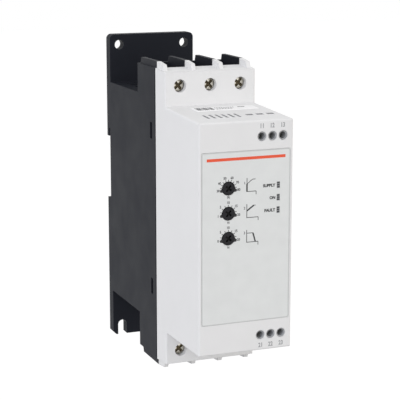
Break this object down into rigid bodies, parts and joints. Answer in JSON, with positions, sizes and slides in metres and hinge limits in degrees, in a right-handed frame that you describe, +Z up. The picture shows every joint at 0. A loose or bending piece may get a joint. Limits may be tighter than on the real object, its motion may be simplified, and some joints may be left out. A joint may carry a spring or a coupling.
{
  "type": "soft starter",
  "caption": "Narrow soft starter for a motor: dark finned base with rail notch and panel plate, pale stepped front cover with setting dials, lamps and screw terminals at both ends.",
  "frame": {"origin": "middle of the mounting rail's centre line, in the plane of the wall face", "axes": "+X to the right as seen from the front, +Y towards the wall behind, +Z up"},
  "size_m": [0.045, 0.1277, 0.1576],
  "materials": {
    "base_plastic": "fine moulded texture, charcoal",
    "cover_plastic": "fine moulded texture, light grey",
    "fascia_print": "printed satin film",
    "sticker_paper": "blank white sticker",
    "dial_plastic": "black, satin",
    "trimmer_plastic": "blue, moulded",
    "lamp_plastic": "smoky translucent, unlit",
    "indicator_resin": "cast resin",
    "board_laminate": "green solder mask",
    "small_screw_steel": "zinc plated",
    "block_plastic": "dark grey, moulded",
    "clamp_steel": "zinc plated",
    "control_screw_steel": "zinc plated",
    "socket_plastic": "black, moulded",
    "relay_plastic": "black, moulded",
    "thyristor_resin": "black moulded resin",
    "sink_aluminium": "extruded, plain",
    "bar_copper": "bare copper",
    "terminal_screw_steel": "yellowish zinc plating",
    "latch_plastic": "black, moulded",
    "spring_steel": "drawn wire"
  },
  "bodies": {
    "housing": {"base_housing": "base_plastic", "front_cover": "cover_plastic", "fascia_film": "fascia_print", "blank_sticker": "sticker_paper", "trimmer_upper": "trimmer_plastic", "trimmer_middle": "trimmer_plastic", "trimmer_lower": "trimmer_plastic", "light_pipe_upper": "lamp_plastic", "light_pipe_middle": "lamp_plastic", "light_pipe_lower": "lamp_plastic", "indicator_upper": "indicator_resin", "indicator_middle": "indicator_resin", "indicator_lower": "indicator_resin", "control_board": "board_laminate", "control_board_screws": "small_screw_steel", "control_block_upper": "block_plastic", "control_block_lower": "block_plastic", "control_clamps_upper": "clamp_steel", "control_clamps_lower": "clamp_steel", "control_screws_upper": "control_screw_steel", "control_screws_lower": "control_screw_steel", "link_board": "board_laminate", "link_socket_front": "socket_plastic", "link_socket_rear": "socket_plastic", "power_board": "board_laminate", "power_board_screws": "small_screw_steel", "relay_left": "relay_plastic", "relay_right": "relay_plastic", "thyristor_left": "thyristor_resin", "thyristor_right": "thyristor_resin", "thyristor_screws": "small_screw_steel", "heat_sink": "sink_aluminium", "heat_sink_screws": "small_screw_steel", "line_bar_left": "bar_copper", "line_bar_middle": "bar_copper", "line_bar_right": "bar_copper", "motor_bar_left": "bar_copper", "motor_bar_middle": "bar_copper", "motor_bar_right": "bar_copper", "line_clamp_left": "clamp_steel", "line_clamp_middle": "clamp_steel", "line_clamp_right": "clamp_steel", "motor_clamp_left": "clamp_steel", "motor_clamp_middle": "clamp_steel", "motor_clamp_right": "clamp_steel", "line_screws": "terminal_screw_steel", "motor_screws": "terminal_screw_steel", "latch_spring": "spring_steel"},
    "dial_upper": {"dial_upper": "dial_plastic"},
    "dial_middle": {"dial_middle": "dial_plastic"},
    "dial_lower": {"dial_lower": "dial_plastic"},
    "rail_latch": {"rail_latch": "latch_plastic"}
  },
  "joints": [
    {"name": "dial_upper_turn", "type": "hinge", "parent": "housing", "child": "dial_upper", "pos_m": [-0.0085, -0.1274, 0.00785], "axis": [0, 1, 0], "range_deg": [-106, 106]},
    {"name": "dial_middle_turn", "type": "hinge", "parent": "housing", "child": "dial_middle", "pos_m": [-0.0085, -0.1274, -0.0034], "axis": [0, 1, 0], "range_deg": [-106, 106]},
    {"name": "dial_lower_turn", "type": "hinge", "parent": "housing", "child": "dial_lower", "pos_m": [-0.0085, -0.1274, -0.01465], "axis": [0, 1, 0], "range_deg": [-106, 106]},
    {"name": "latch_slide", "type": "slide", "parent": "housing", "child": "rail_latch", "axis": [0, 0, -1], "range_m": [0, 0.004], "stiffness_N_per_m": 600, "springref_m": -0.006, "deforming": ["latch_spring"]}
  ]
}
